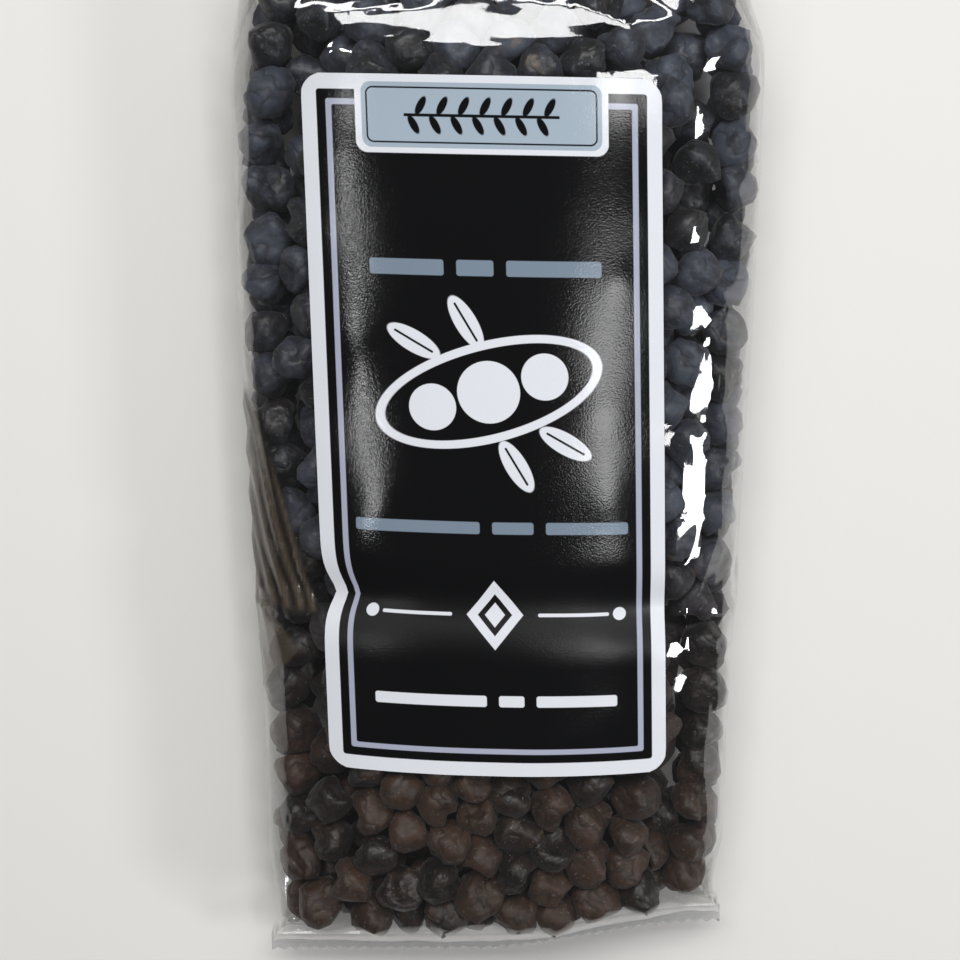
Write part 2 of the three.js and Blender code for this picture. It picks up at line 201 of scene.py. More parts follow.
def beyond_label(x, y):
    """How far a place in the plan of the bag lies outside the label's edge, negative under it."""
    across = x - LABEL_CENTRE.x
    up = y - LABEL_CENTRE.y + LABEL_SKEW * across
    cosine, sine = math.cos(LABEL_LEAN), math.sin(LABEL_LEAN)
    from_side = np.abs(across * cosine + up * sine) - LABEL_WIDTH / 2
    return np.maximum(from_side, np.abs(up * cosine - across * sine) - LABEL_LENGTH / 2)


middle_section = section_at(0.0)
print("widest place", round(float(middle_section.widest) / MM, 1), "mm above the floor")

# %% [markdown]
# ## One chickpea
# A chickpea is a plump ball a little longer than wide. It has a beak at one end, a groove that
# runs from the beak down one side, and a few soft dents where it dried. It could be sculpted, but
# hundreds are needed, so each shape is a ball of few faces, pulled about with soft selections.
# Six shapes, each turned another way wherever it is used, are enough to look like no two alike.

# %% Model the chickpea shapes
PEA_WIDTH = 9.3 * MM
PEA_DEPTH = 8.9 * MM
PEA_LENGTH = 10.6 * MM
PEA_SHAPES = 6
BEAK_RISE = 1.7 * MM
BEAK_REACH = 4.2 * MM
GROOVE_DEPTH = 1.9 * MM
GROOVE_REACH = 2.8 * MM
DENT_DEPTH = 2.3 * MM
DENT_REACH = 3.6 * MM
DENTS_A_PEA = 7
PEA_UNEVENNESS = 0.35 * MM
CUBE_CUTS = 3

random = np.random.default_rng(20407)


def add_piece(name, adder, **settings):
    """Adds a primitive with nothing else selected, and names it."""
    bpy.ops.object.select_all(action="DESELECT")
    adder(**settings)
    piece = bpy.context.object
    piece.name = name
    piece.data.name = name
    return piece


def edit_all(operation, **settings):
    """Runs an edit-mode operator on the whole of the active mesh."""
    bpy.ops.object.mode_set(mode="EDIT")
    bpy.ops.mesh.select_all(action="SELECT")
    operation(**settings)
    bpy.ops.object.mode_set(mode="OBJECT")


def pull_point(piece, near, shift, reach):
    """Moves the corner nearest to a place, and softly what lies around it."""
    bpy.ops.object.mode_set(mode="EDIT")
    bpy.ops.mesh.select_mode(type="VERT")
    bpy.ops.mesh.select_all(action="DESELECT")
    bpy.ops.object.mode_set(mode="OBJECT")
    corner = min(piece.data.vertices, key=lambda vertex: (vertex.co - near).length)
    corner.select = True
    bpy.ops.object.mode_set(mode="EDIT")
    bpy.ops.transform.translate(
        value=shift, use_proportional_edit=True, proportional_edit_falloff="SMOOTH",
        proportional_size=reach,
    )
    bpy.ops.object.mode_set(mode="OBJECT")


def fit_size(pea):
    """Stretches a chickpea to its true width, depth and length."""
    corners = [vertex.co for vertex in pea.data.vertices]
    spans = [[corner[axis] for corner in corners] for axis in range(3)]
    sizes = [max(span) - min(span) for span in spans]
    wanted = (PEA_WIDTH, PEA_DEPTH, PEA_LENGTH)
    edit_all(bpy.ops.transform.resize, value=[size / now for size, now in zip(wanted, sizes)])


def model_pea(index):
    """One chickpea shape, centred on the origin with its beak up."""
    pea = add_piece(f"pea_shape_{index}", bpy.ops.mesh.primitive_cube_add, size=1)
    edit_all(bpy.ops.mesh.subdivide, number_cuts=CUBE_CUTS)
    edit_all(bpy.ops.transform.tosphere, value=1)
    fit_size(pea)
    lean = random.uniform(-0.4, 0.4, size=2)
    for place in (0.6, 0.0, -0.6):
        near = Vector((0, -PEA_DEPTH / 2, place * PEA_LENGTH / 2))
        pull_point(pea, near, (0, GROOVE_DEPTH, 0), GROOVE_REACH)
    for _ in range(DENTS_A_PEA):
        direction = Vector(random.normal(size=3)).normalized()
        depth = DENT_DEPTH * random.uniform(0.4, 1)
        pull_point(pea, direction * PEA_WIDTH / 2, -direction * depth, DENT_REACH)
    tip = Vector((0, -PEA_DEPTH * 0.12, PEA_LENGTH / 2))
    pull_point(pea, tip, Vector((lean[0], -0.7 + lean[1], 1)) * BEAK_RISE, BEAK_REACH)
    edit_all(bpy.ops.transform.vertex_random, offset=PEA_UNEVENNESS, normal=1, seed=index)
    edit_all(bpy.ops.mesh.vertices_smooth, factor=0.35)
    fit_size(pea)
    return pea


pea_shapes = [model_pea(index) for index in range(PEA_SHAPES)]
print("chickpea shapes", len(pea_shapes), "with", len(pea_shapes[0].data.polygons), "faces each")

# %% [markdown]
# ## Pouring the chickpeas
# Hundreds of chickpeas lie in the bag at random, each against its neighbours and the outermost
# against the film. A physics engine could drop them, but it would take minutes. Here each one is
# treated as a ball: overlapping balls push each other apart, and the film pushes them back inside,
# until they have settled. Balls at random leave holes along a wall, so rows of them line the sides
# from the start. The film stands off them at the top and beside the waist, so the space there is
# made smaller.

# %% Name how the heap lies
PEA_RADIUS = 4.62 * MM
PEA_SPREAD = 0.07
PEA_COUNT = 760
SETTLE_STEPS = 600
NEIGHBOUR_STEPS = 10
NEIGHBOUR_REACH = 1.4
SETTLE_FORCE = 0.3
END_ROOM = 2.0
LEAST_ROOM = 0.2 * MM
WALL_GAP = 0.3 * MM
FLOOR_GAP = 0.35 * MM
UPPER_GAP = 0.6 * MM
UPPER_GAP_Y = (22 * MM, 48 * MM)
LOWER_LEFT_GAP = 0.8 * MM
LOWER_RIGHT_GAP = 0.4 * MM
LOWER_GAP_Y = (-80 * MM, -50 * MM)
VOID_SIDE = 1 * MM
VOID_DEPTH = 7 * MM
VOID_TOP_Y = 8 * MM
VOID_DEEPEST_Y = -37 * MM
VOID_FOOT_Y = -52 * MM
VOID_SLANT = 0.3
VOID_BORDER_X = -34 * MM
NOTCH_DEPTH = 5 * MM
NOTCH_REACH = 6 * MM
NOTCH_X = (30 * MM, 42 * MM)
UNDER_LABEL_GAP = 1.4 * MM
UNDER_LABEL_REACH = 2 * MM
FRONT_GAP = 0.6 * MM
TOP_FREE_GAP = 2.6 * MM
TOP_FREE_Y = (60 * MM, 72 * MM)
ROW_PITCH = 9.2 * MM
ROW_LEVELS = (8 * MM, 18 * MM)
ROW_START = 6 * MM
ROW_END = 12 * MM
ROW_HOLD = 0.1


def void_share(y):
    """How open the space beside the waist is at the left: it widens downwards and ends sharply."""
    widening = np.clip((VOID_TOP_Y - y) / (VOID_TOP_Y - VOID_DEEPEST_Y), 0, 1)
    return widening * ease(y, VOID_FOOT_Y, VOID_DEEPEST_Y)


def side_gap(x, y):
    """How far the outermost chickpeas stand off the film at each side."""
    upper = UPPER_GAP * ease(y, *UPPER_GAP_Y)
    lower = 1 - ease(y, *LOWER_GAP_Y)
    left = upper + VOID_SIDE * void_share(y) + LOWER_LEFT_GAP * lower
    return np.where(x < 0, left, LOWER_RIGHT_GAP * lower)


def top_gap(x, y):
    """How far the topmost chickpeas stand off the film: under the label and at the waist's ends."""
    border = VOID_BORDER_X - VOID_SLANT * (y - VOID_DEEPEST_Y)
    void = VOID_DEPTH * void_share(y) ** 0.5 * ease(border - x, -2 * MM, 4 * MM)
    notch = NOTCH_DEPTH * np.exp(-(((y - WAIST_Y) / NOTCH_REACH) ** 2)) * ease(x, *NOTCH_X)
    under_label = UNDER_LABEL_GAP * (beyond_label(x, y) < UNDER_LABEL_REACH)
    free = TOP_FREE_GAP * ease(y, *TOP_FREE_Y)
    return np.maximum(under_label, free + FRONT_GAP) + void + notch


def keep_inside(places, radii):
    """Moves the balls that stick out of the bag back inside it."""
    x, y, z = places.T
    y = np.clip(y, BODY_START + END_ROOM * radii, highest_place(radii))
    section = section_at(y)
    half_width = section.half_width - section.tuck / 2 - radii - WALL_GAP - side_gap(x, y)
    above = section.top - section.widest - radii - WALL_GAP - waist_depth(x, y)
    above -= top_gap(x, y)
    below = section.widest - section.bottom - radii - FLOOR_GAP
    on_front = z > section.widest
    height = np.maximum(np.where(on_front, above, below), LEAST_ROOM)
    power = np.where(on_front, section.front_power, section.back_power)
    across = np.abs(x / np.maximum(half_width, radii))
    up = np.abs((z - section.widest) / height)
    size = (across**power + up**power) ** (1 / power)
    shrink = 1 / np.maximum(size, 1)
    return np.stack([x * shrink, y, section.widest + (z - section.widest) * shrink], axis=-1)


def highest_place(radii):
    """The place nearest to the top seal where the bag is still thick enough for each ball."""
    samples = np.linspace(BODY_END, BODY_END - TOP_RISE, 60)
    section = section_at(samples)
    return np.interp(2 * radii + WALL_GAP, section.top - section.bottom, samples)


def side_rows():
    """Places for the rows that line the sides, well outside them, to be pushed in by the film."""
    rows = []
    for side in (-1, 1):
        for level, height in enumerate(ROW_LEVELS):
            start = BODY_START + ROW_START + level * ROW_PITCH / 2
            along = np.arange(start, BODY_END - ROW_END, ROW_PITCH)
            rows += [(side * UPPER_WIDTH, y, height) for y in along]
    return np.array(rows)


# %% Settle the heap
def settled_heap():
    """The middles and sizes of the chickpeas once they have pushed each other into place."""
    radii = PEA_RADIUS * (1 + PEA_SPREAD * random.uniform(-1, 1, PEA_COUNT))
    spread = random.uniform(-1, 1, (PEA_COUNT, 3)) * 0.5
    box = np.array([UPPER_WIDTH, BODY_END - BODY_START, THICKNESS])
    centre = np.array([0, (BODY_START + BODY_END) / 2, THICKNESS / 2])
    places = centre + spread * box
    rows = side_rows()
    lined = len(rows)
    places[:lined] = rows
    places = keep_inside(places, radii)
    row_places = places[:lined].copy()
    reach = radii[:, None] + radii[None, :]
    for step in range(SETTLE_STEPS):
        if step % NEIGHBOUR_STEPS == 0:
            gaps = places[:, None, :] - places[None, :, :]
            near = (gaps**2).sum(-1) < (reach * NEIGHBOUR_REACH) ** 2
            first, second = np.nonzero(np.triu(near, 1))
        gaps = places[first] - places[second]
        distances = np.linalg.norm(gaps, axis=1) + 1e-9
        overlaps = np.maximum(reach[first, second] - distances, 0)
        push = gaps * (overlaps / distances * SETTLE_FORCE)[:, None]
        moves = np.zeros_like(places)
        np.add.at(moves, first, push)
        np.add.at(moves, second, -push)
        moves[:lined] += (row_places - places[:lined]) * ROW_HOLD
        places = keep_inside(places + moves, radii)
    overlap = overlaps[overlaps > 0].mean() / MM
    print("chickpeas", PEA_COUNT, "overlap", round(overlap, 2), "mm on average")
    return places, radii


pea_places, pea_radii = settled_heap()

# %% [markdown]
# ## Joining the chickpeas
# Each chickpea is a turned, scaled copy of one of the shapes. Copies of an object would be slow to
# handle, so their corners are worked out together and become one mesh. Every chickpea also gets a
# number of its own, its tone, which the material reads to make some paler than others.

# %% Build the chickpeas as one piece


def corner_array(mesh):
    corners = np.empty(len(mesh.vertices) * 3)
    mesh.vertices.foreach_get("co", corners)
    return corners.reshape(-1, 3)


def random_turn():
    """A turn in any direction, all equally likely."""
    turn = Vector(random.normal(size=4)).normalized()
    return np.array(Matrix.Rotation(2 * math.acos(abs(turn[0])), 3, Vector(turn[1:])))


def joined_peas():
    shapes = [corner_array(shape.data) for shape in pea_shapes]
    faces = [[list(face.vertices) for face in shape.data.polygons] for shape in pea_shapes]
    all_corners, all_faces, tones, start = [], [], [], 0
    for place, radius in zip(pea_places, pea_radii):
        kind = random.integers(PEA_SHAPES)
        corners = shapes[kind] @ random_turn().T * (radius / PEA_RADIUS)
        corners += place + np.array([0, bottom_lift(*place[:2]), 0])
        corners[:, 2] += max(0, FLOOR_GAP - corners[:, 2].min())
        all_corners.append(corners)
        all_faces += [[corner + start for corner in face] for face in faces[kind]]
        tones += [random.uniform()] * len(corners)
        start += len(corners)
    return np.concatenate(all_corners), all_faces, tones


def mesh_piece(name, corners, faces):
    """A piece from lists of corners and faces, smoothly shaded."""
    mesh = bpy.data.meshes.new(name)
    mesh.from_pydata(corners.tolist(), [], faces)
    mesh.shade_smooth()
    piece = bpy.data.objects.new(name, mesh)
    bpy.context.collection.objects.link(piece)
    return piece


def give_attribute(piece, name, values):
    attribute = piece.data.attributes.new(name, "FLOAT", "POINT")
    attribute.data.foreach_set("value", np.asarray(values, dtype=np.float32))


corners, faces, tones = joined_peas()
peas = mesh_piece("chickpeas", corners, faces)
give_attribute(peas, "tone", tones)
for shape in pea_shapes:
    bpy.data.objects.remove(shape)
print("chickpeas piece", len(peas.data.polygons) * 2, "triangles")

# %% [markdown]
# ## The film
# The film is a thin clear tube, sealed flat at both ends. It hangs from one chickpea to the next
# like a tight skin, so its highlights break up into ribbons and patches. A cloth simulation could
# do that, but this is simpler and steadier: a fine grid is folded into a tube on the bag's form,
# and each of its points may move only in or out. Tension evens the points out, and the chickpeas,
# the label's stiff paper and the folds hold them up.

# %% Fold a grid into a tube
FRONT_COLUMNS = 144
FILM_ROWS = 300
TOOTH_COLUMNS = 4
TOOTH_DEPTH = 0.7 * MM
TOOTH_ROWS = 3

across = np.linspace(-1, 1, FRONT_COLUMNS + 1)
tube_share = np.concatenate([across, across[-2::-1]])
tube_front = np.arange(len(tube_share)) <= FRONT_COLUMNS
tube_y = np.linspace(-HALF_LENGTH, HALF_LENGTH, FILM_ROWS + 1)


def tube_points():
    """The tube's points on the bag's form, one row for each place along it."""
    y = np.repeat(tube_y[:, None], len(tube_share), axis=1)
    flatness = 1 - ease(section_at(y).fullness, 0, 0.5)
    rounded = np.sin(tube_share * math.pi / 2)
    share = blend(rounded, tube_share, flatness)
    points = surface_points(y, share, tube_front)
    half_tooth = TOOTH_COLUMNS / 2
    tooth = 1 - np.abs(np.arange(len(tube_share)) % TOOTH_COLUMNS - half_tooth) / half_tooth
    from_end = np.minimum(np.arange(FILM_ROWS + 1), np.arange(FILM_ROWS + 1)[::-1])
    cut = np.clip(1 - from_end / TOOTH_ROWS, 0, 1)[:, None] * tooth * TOOTH_DEPTH
    points[:, :, 1] -= np.sign(y) * cut
    for end in (0, -1):
        points[end, :, 2] = section_at(tube_y[end]).widest
    return points


def outward_directions(points):
    """The way out of the tube at each of its points."""
    ring = points[:, :-1]
    around = np.roll(ring, -1, axis=1) - np.roll(ring, 1, axis=1)
    along = np.gradient(ring, axis=0)
    directions = np.cross(around, along)
    return directions / (np.linalg.norm(directions, axis=2, keepdims=True) + 1e-12)


form = tube_points()
outward = outward_directions(form)
form = form[:, :-1]
print("film grid", form.shape[1], "columns by", form.shape[0], "rows")

# %% [markdown]
# ### What holds the film up
# Three things hold the film out: the chickpeas, found with rays shot inwards; the label, whose
# paper bridges the gaps under it; and the folds, stiff ridges of which the longest run from the
# corners where the bag's sides are tucked in. Each gives a least height of the film over the form.

# %% Find the chickpeas under the film
RAY_START = 9 * MM
RAY_LENGTH = 17 * MM
FILM_CLEARANCE = 0.12 * MM


def hit_heights(tree, points, directions):
    """How high the surface in a tree lies over each point, along its own direction."""
    heights = np.full(points.shape[:2], RAY_START - RAY_LENGTH)
    for place in np.ndindex(heights.shape):
        way = Vector(directions[place])
        start = Vector(points[place]) + way * RAY_START
        distance = tree.ray_cast(start, -way, RAY_LENGTH)[3]
        if distance is not None:
            heights[place] = RAY_START - distance
    return heights


pea_tree = BVHTree.FromPolygons(corners.tolist(), faces)
pea_heights = hit_heights(pea_tree, form, outward)
print("film over the form at its chickpeas, at most", round(pea_heights.max() / MM, 2), "mm")

# %% Lay out the folds and the label's support
LABEL_SUPPORT = -0.25 * MM
LABEL_FALL = 0.4
LABEL_TOP_FALL = 0.12
LABEL_STEEP_BELOW = 3 * MM
FOLD_REACH = 1.6 * MM
PAPER_WAVE = 0.45 * MM
PAPER_WAVE_SIZE = 14 * MM
LEFT_CORNER = (-49.1, 77)
RIGHT_CORNER = (48.9, 71.2)
# Each fold has a height in millimetres, a slope to either side of it, and a line.
FOLDS = [
    (1.6, 0.4, [
        LEFT_CORNER, (-40.7, 73.8), (-28.9, 72.2), (0.4, 70), (13.5, 69.4), (26, 68.6), (36, 67.5)
    ]),
    (1.6, 0.4, [LEFT_CORNER, (-28.9, 76.5), (-15.3, 79.2), (2, 84)]),
    (1.9, 0.4, [(2, 81), (12.9, 79.2), (21.5, 74.7), (33.1, 70.8), RIGHT_CORNER]),
    (1.6, 0.4, [RIGHT_CORNER, (40, 82), (31, 96)]),
    (1.3, 0.4, [RIGHT_CORNER, (38, 66), (37, 60)]),
    (1.5, 0.4, [LEFT_CORNER, (-42, 90), (-30, 103)]),
    (0.6, 0.35, [(-51.5, 68), (-47.2, 60), (-47.2, 50), (-49.5, 36)]),
    (0.3, 0.35, [(-50, 12), (-45, -10), (-40, -32)]),
    (0.6, 0.5, [(-47.1, -37), (-38.4, -46.5), (-42.5, -52)]),
    (0.5, 0.5, [(-30, -36), (-38, -38.5), (-47.1, -37)]),
    (0.9, 0.5, [(34.5, -2), (39, -4), (46, -9)]),
    (0.8, 0.5, [(35.5, -3), (40, -9), (42, -16), (41, -24), (37, -35)]),
    (0.7, 0.5, [(41, 14), (42.5, 7), (41, 2), (38, -3)]),
    (0.7, 0.5, [(35, -17), (40, -18), (45, -22)]),
    (0.6, 0.5, [(36, 22), (40, 23.5), (43, 21.5)]),
]


def distance_to_line(x, y, line):
    """The distance in plan from each point to a line, given by its corners in millimetres."""
    line = np.array(line) * MM
    nearest = np.full(x.shape, RAY_LENGTH)
    for (start_x, start_y), (end_x, end_y) in zip(line, line[1:]):
        step_x, step_y = end_x - start_x, end_y - start_y
        share = ((x - start_x) * step_x + (y - start_y) * step_y) / (step_x**2 + step_y**2)
        share = np.clip(share, 0, 1)
        gap = np.hypot(x - start_x - share * step_x, y - start_y - share * step_y)
        nearest = np.minimum(nearest, gap)
    return nearest


def waves(points, size, seed):
    """A smooth random pattern from -1 to 1."""
    offset = Vector((seed, seed * 0.37, seed * 0.71))
    flat = points.reshape(-1, 3) / size
    values = [noise.noise(Vector(point) + offset) for point in flat]
    return np.array(values).reshape(points.shape[:-1])


front_ring = tube_front[:-1][None, :]
form_x, form_y, form_z = form[:, :, 0], form[:, :, 1], form[:, :, 2]
fold_heights = np.full(form_x.shape, -RAY_LENGTH)
for height, slope, line in FOLDS:
    distance = distance_to_line(form_x, form_y, line)
    held = front_ring & (distance < FOLD_REACH)
    ridge = height * MM - slope * distance
    fold_heights = np.maximum(fold_heights, np.where(held, ridge, -RAY_LENGTH))

paper = LABEL_SUPPORT + PAPER_WAVE * waves(form, PAPER_WAVE_SIZE, 3)
fall = np.where(form_y > label_high.y - LABEL_STEEP_BELOW, LABEL_TOP_FALL, LABEL_FALL)
paper -= np.maximum(beyond_label(form_x, form_y), 0) * fall
paper -= np.where(front_ring, 0, RAY_LENGTH)
fold_heights = np.maximum(fold_heights, paper)
print("points held by folds or the label", int((fold_heights > -1 * MM).sum()))

# %% Pull the film tight
TIGHTEN_STEPS = 160
STIFFEN_STEPS = 70
ALONG_PULL = 0.68
LOWEST_FILM = 0.04 * MM
FACING_DOWN = -0.3
SIDE_LINE_SHARE = 0.985
SIDE_SLACK = 0.2 * MM
SEALED_BELOW = 0.02


def evened(values):
    """The mean of each point's neighbours, which counts those along the bag for more."""
    along = (np.roll(values, 1, axis=0) + np.roll(values, -1, axis=0)) / 2
    around = (np.roll(values, 1, axis=1) + np.roll(values, -1, axis=1)) / 2
    return blend(around, along, ALONG_PULL)


def tightened(least, sealed):
    """The film's heights over the form once tension has evened them out over what holds it."""
    heights = np.where(sealed, 0, np.maximum(least, 0))
    at_side = np.abs(tube_share[:-1])[None, :] > SIDE_LINE_SHARE
    least = np.where(at_side, np.maximum(least, -SIDE_SLACK), least)
    upward = outward[:, :, 2]
    underneath = upward < FACING_DOWN
    floor = (LOWEST_FILM - form_z) / np.minimum(upward, FACING_DOWN)
    for _ in range(TIGHTEN_STEPS):
        points = form + outward * heights[:, :, None]
        heights = heights + ((evened(points) - points) * outward).sum(-1)
        heights = np.where(sealed, 0, np.maximum(heights, least))
        sunk = (form_z + upward * heights < LOWEST_FILM) & underneath
        heights = np.where(sunk, floor, heights)
    for _ in range(STIFFEN_STEPS):
        stiffer = np.maximum(evened(heights), least)
        heights = np.where(sealed | underneath, heights, stiffer)
    return heights


sealed = (section_at(tube_y).fullness < SEALED_BELOW)[:, None]
least = np.where(sealed, 0, np.maximum(pea_heights + FILM_CLEARANCE, fold_heights))
film_heights = tightened(least, sealed)
print("film heights", round(film_heights.min() / MM, 2), "to", round(film_heights.max() / MM, 2), "mm")

# %% [markdown]
# ### Crumples, pleats and streaks
# Where nothing lies right under it, the film crumples, most of all at the waist. At the left it is
# folded over itself in long pleats. Fine streaks across the top break up what is reflected there.

# %% Crumple the free stretches
FREE_RISE = 1.2 * MM
CRUMPLE = 0.16 * MM
CRUMPLE_SIZE = 7 * MM
CRUMPLE_STRETCH = 0.45
CRUMPLE_SHARPNESS = 2.2
WAIST_CRUMPLE = 3.5
WAIST_CRUMPLE_REACH = 9 * MM
WAIST_CRUMPLE_X = (30 * MM, 38 * MM)
PLEAT = 0.6 * MM
PLEAT_PITCH = 3.1 * MM
PLEAT_SLANT = 0.31
PLEAT_WANDER = 1.2
PLEAT_WANDER_SIZE = 14 * MM
PLEATED_EDGE_X = -34.5 * MM
PLEATED_FOOT_Y = -38 * MM
PLEATED_TOP_Y = 8 * MM
FLAP_TIP = (-38.4 * MM, -46.5 * MM)
FLAP_SLOPE = 0.85
# How much painted shade covers the flap, and how far it takes the lighter painted reflection.
FLAP_PAINTED_SHADE = 0.7
FLAP_PAINTED_LIGHT = 0.8
STREAK = 0.05 * MM
STREAK_SIZE = 3.4 * MM
STREAK_STRETCH = np.array([0.06, 1, 0.5])
STREAK_SLANT = np.array([0, 0.07, 0])
STREAK_CREST = 0.6
STREAK_SHARPNESS = 2.6
STREAK_RISE_Y = (62 * MM, 71 * MM)
STREAK_FADE_Y = (98 * MM, 106 * MM)


def pleated_area(x, y):
    """Where the film at the left is folded over itself: a long wedge and a small flap below it."""
    edge = PLEATED_EDGE_X - PLEAT_SLANT * (y - PLEATED_FOOT_Y)
    upright = ease(y, PLEATED_FOOT_Y - 2 * MM, PLEATED_FOOT_Y) * (1 - ease(y, 0, PLEATED_TOP_Y))
    wedge = ease(edge - x, 0, 1.2 * MM) * upright
    flap_edge = FLAP_TIP[0] - np.abs(y - FLAP_TIP[1]) * FLAP_SLOPE
    flap = ease(flap_edge - x, 0, 1 * MM) * (y < PLEATED_FOOT_Y)
    return wedge, flap


def crumpled(heights, least):
    """The film's heights with sharp little folds where it is free, and where it is pleated."""
    x, y = form_x, form_y
    free = ease(heights - least, 0, FREE_RISE)
    stretched = form * np.array([1.0, CRUMPLE_STRETCH, 1.0])
    sharp = 1 - np.abs(waves(stretched, CRUMPLE_SIZE, 11)) * CRUMPLE_SHARPNESS
    wedge, flap = pleated_area(x, y)
    wander = waves(stretched, PLEAT_WANDER_SIZE, 5) * PLEAT_WANDER
    phase = (x + y * PLEAT_SLANT) / PLEAT_PITCH + wander
    pleat_crest_and_painted_light = np.abs(phase - np.floor(phase) - 0.5) * 2
    drawn_out = form * STREAK_STRETCH + form[:, :, :1] * STREAK_SLANT
    streaks = STREAK_CREST - np.abs(waves(drawn_out, STREAK_SIZE, 23)) * STREAK_SHARPNESS
    at_top = ease(y, *STREAK_RISE_Y) * (1 - ease(y, *STREAK_FADE_Y))
    at_waist = np.exp(-(((y - WAIST_Y) / WAIST_CRUMPLE_REACH) ** 2))
    at_waist *= ease(np.abs(x), *WAIST_CRUMPLE_X)
    crumple = CRUMPLE * (1 - wedge) * (1 + WAIST_CRUMPLE * at_waist)
    relief = crumple * sharp + PLEAT * pleat_crest_and_painted_light * wedge * front_ring
    relief = free * (relief + STREAK * streaks * at_top * front_ring)
    # Over the film folded over itself, a share of painted shade; along the pleats' crests and on the
    # flap a share of painted reflection, with painted shade in the valleys between.
    folded_painted_shade = (wedge + flap * FLAP_PAINTED_SHADE) * front_ring
    return heights + relief, folded_painted_shade, np.maximum(pleat_crest_and_painted_light * wedge, flap * FLAP_PAINTED_LIGHT)


film_heights, film_folded_painted_shade, film_pleat_painted_light = crumpled(film_heights, least)

# %% Make the film's mesh


def grid_piece(name, columns, rows):
    """A flat grid of faces with its corners numbered row by row."""
    adder = bpy.ops.mesh.primitive_grid_add
    return add_piece(name, adder, x_subdivisions=columns, y_subdivisions=rows, size=2)


film_points = form + outward * film_heights[:, :, None]
film_points[:, :, 2] = np.maximum(film_points[:, :, 2], LOWEST_FILM)
film_points = np.concatenate([film_points, film_points[:, :1]], axis=1)
film = grid_piece("film", film_points.shape[1] - 1, FILM_ROWS)
film.data.vertices.foreach_set("co", film_points.reshape(-1))
film.data.update()

ring = np.ones(form_x.shape)
seal_share = 1 - ease(section_at(tube_y).fullness, 0.0, 0.08)
for name, values in (
    ("seal", seal_share[:, None] * ring),
    ("along", tube_y[:, None] * ring),
    # painted shade and painted reflection for the folded film at the left
    ("folded_painted_shade", film_folded_painted_shade),
    ("pleat_crest_and_painted_light", film_pleat_painted_light),
):
    give_attribute(film, name, np.concatenate([values, values[:, :1]], axis=1).reshape(-1))
edit_all(bpy.ops.mesh.remove_doubles, threshold=0.01 * MM)
edit_all(bpy.ops.mesh.normals_make_consistent, inside=False)
film.data.shade_smooth()
print("film", len(film.data.polygons) * 2, "triangles")

# %% [markdown]
# ## The label
# The label is satin paper with rounded corners, stuck to the film. It follows the front's large
# forms, dips at the waist and is nipped in on the left there. It starts as a flat grid at its true
# size. Its corners are cut round with bisecting planes, it is leant and skewed as it sits on the
# bag, and it is laid on the film with rays from above. The flat grid is kept as its UV map, so
# that the print is laid out on flat paper and bends with it.

# %% Cut the label
LABEL_CORNER = 4.2 * MM
LABEL_STEP = 1.5 * MM
CORNER_CUTS = 6
PAPER_THICKNESS = 0.14 * MM
PAPER_LIFT = 0.2 * MM
KINK_DEPTH = 2.7 * MM
KINK_REACH = 4 * MM
KINK_FADE = 20 * MM


def cut_corners(width, length, radius):
    """Rounds the four corners of the flat sheet with a fan of cuts each."""
    for side_x in (-1, 1):
        for side_y in (-1, 1):
            middle = Vector((side_x * (width / 2 - radius), side_y * (length / 2 - radius), 0))
            for step in range(CORNER_CUTS):
                angle = math.pi / 2 * (step + 0.5) / CORNER_CUTS
                way = Vector((side_x * math.cos(angle), side_y * math.sin(angle), 0))
                rim = middle + way * radius
                edit_all(bpy.ops.mesh.bisect, plane_co=rim, plane_no=way, clear_outer=True)


columns, rows = round(LABEL_WIDTH / LABEL_STEP), round(LABEL_LENGTH / LABEL_STEP)
label = grid_piece("label_paper", columns, rows)
edit_all(bpy.ops.transform.resize, value=(LABEL_WIDTH / 2, LABEL_LENGTH / 2, 1))
cut_corners(LABEL_WIDTH, LABEL_LENGTH, LABEL_CORNER)
flat_label = corner_array(label.data)

label_uv = label.data.uv_layers[0]
label_uv.name = "print"
loop_corners = np.empty(len(label.data.loops), dtype=np.int32)
label.data.loops.foreach_get("vertex_index", loop_corners)
flat_uv = flat_label[loop_corners, :2] / [LABEL_WIDTH, LABEL_LENGTH] + 0.5
label_uv.data.foreach_set("uv", flat_uv.astype(np.float32).reshape(-1))
print("label", len(label.data.polygons), "faces before it is laid on the film")

# %% Lay the label on the film
film_tree = BVHTree.FromPolygons(
    corner_array(film.data).tolist(), [list(face.vertices) for face in film.data.polygons]
)


def plan_places(flat):
    """Where the flat label's points lie in the plan of the bag."""
    x, y = flat[:, 0].copy(), flat[:, 1].copy()
    kink_y = WAIST_Y - LABEL_CENTRE.y + WAIST_SLANT * -LABEL_WIDTH / 2
    from_edge = x + LABEL_WIDTH / 2
    pull = np.exp(-np.abs((y - kink_y) / KINK_REACH) ** 1.5) * np.exp(-from_edge / KINK_FADE)
    x += KINK_DEPTH * pull * np.clip(1 - from_edge / LABEL_WIDTH, 0, 1)
    cosine, sine = math.cos(LABEL_LEAN), math.sin(LABEL_LEAN)
    across, up = x * cosine - y * sine, x * sine + y * cosine
    return across + LABEL_CENTRE.x, up - LABEL_SKEW * across + LABEL_CENTRE.y


def film_height(x, y):
    """The height of the film's front under a place in plan."""
    start = Vector((x, y, THICKNESS * 2))
    return film_tree.ray_cast(start, Vector((0, 0, -1)))[0].z


